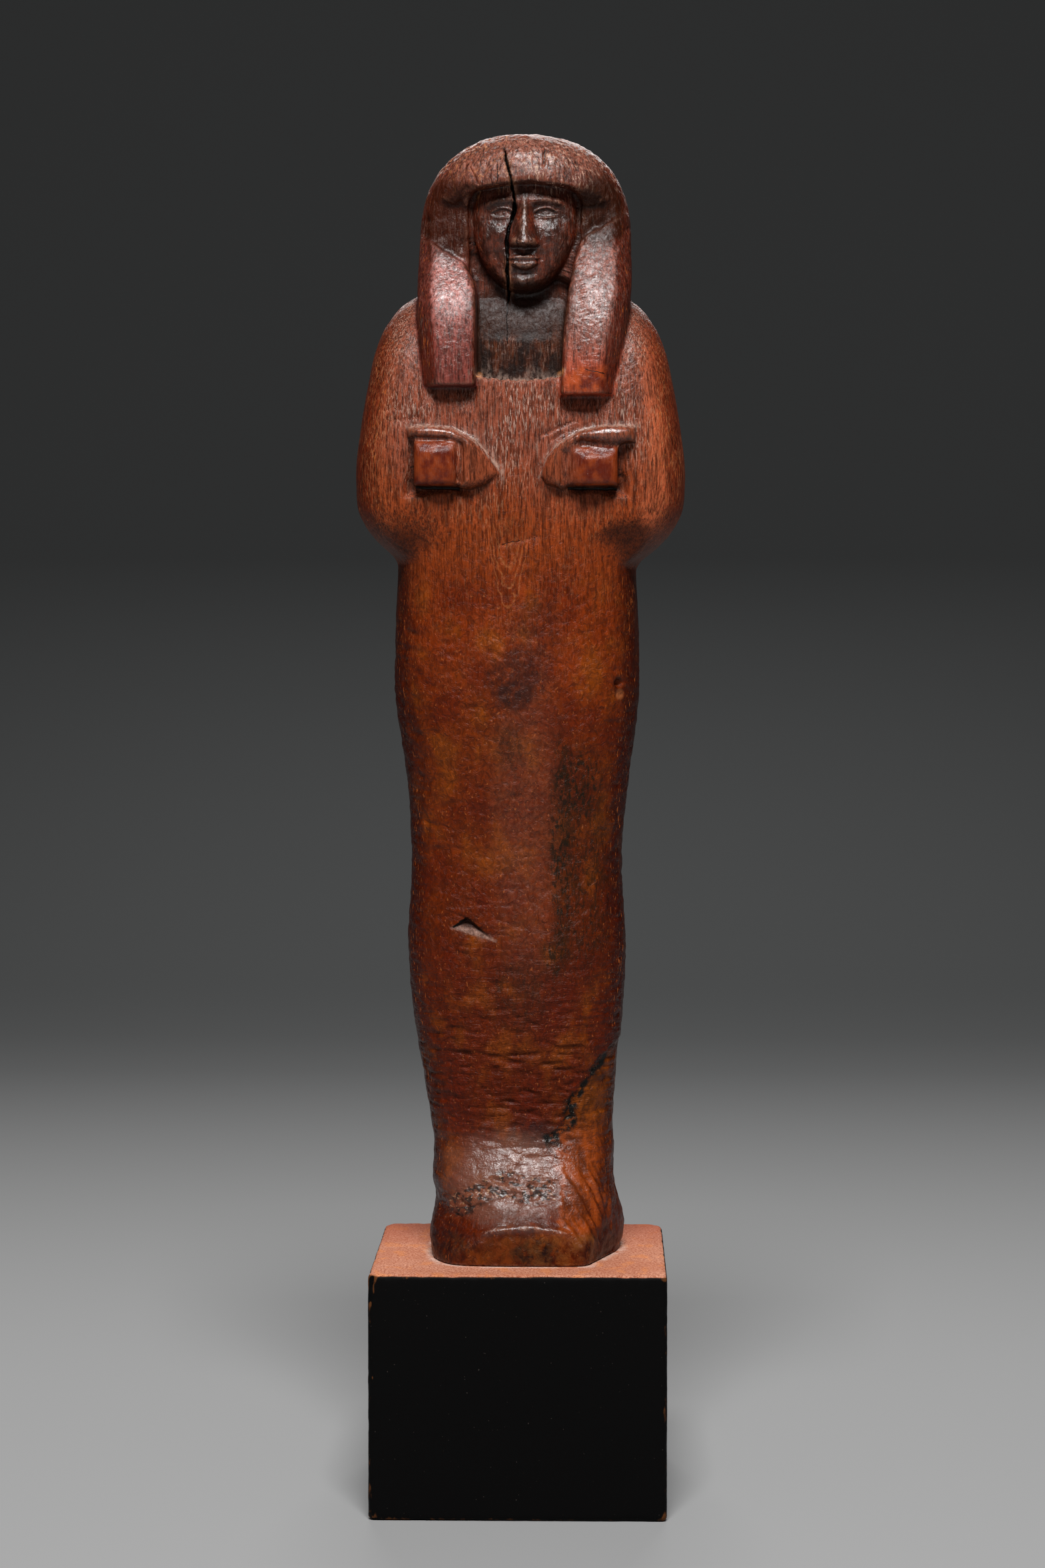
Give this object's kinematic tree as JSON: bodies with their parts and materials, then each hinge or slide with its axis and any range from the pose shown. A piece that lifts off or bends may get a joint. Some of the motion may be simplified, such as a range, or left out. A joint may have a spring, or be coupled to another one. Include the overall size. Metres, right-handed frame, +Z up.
{
  "type": "ushabti figurine",
  "caption": "Carved wooden mummiform figurine with a plain long wig and folded hands, standing on a painted square block.",
  "frame": {"origin": "middle of the stand block's underside", "axes": "+Z up, the figure faces -Y and its right hand is on -X"},
  "size_m": [0.0722, 0.064, 0.2978],
  "materials": {
    "dark_carved_wood": "dark red-brown wood with an old oily shine, worn, cracked and stained",
    "black_painted_wood": "matte black painted sides, rust-brown top and rubbed brown edges"
  },
  "bodies": {
    "root": {"ushabti_figure": "dark_carved_wood", "stand_block": "black_painted_wood"}
  },
  "joints": []
}
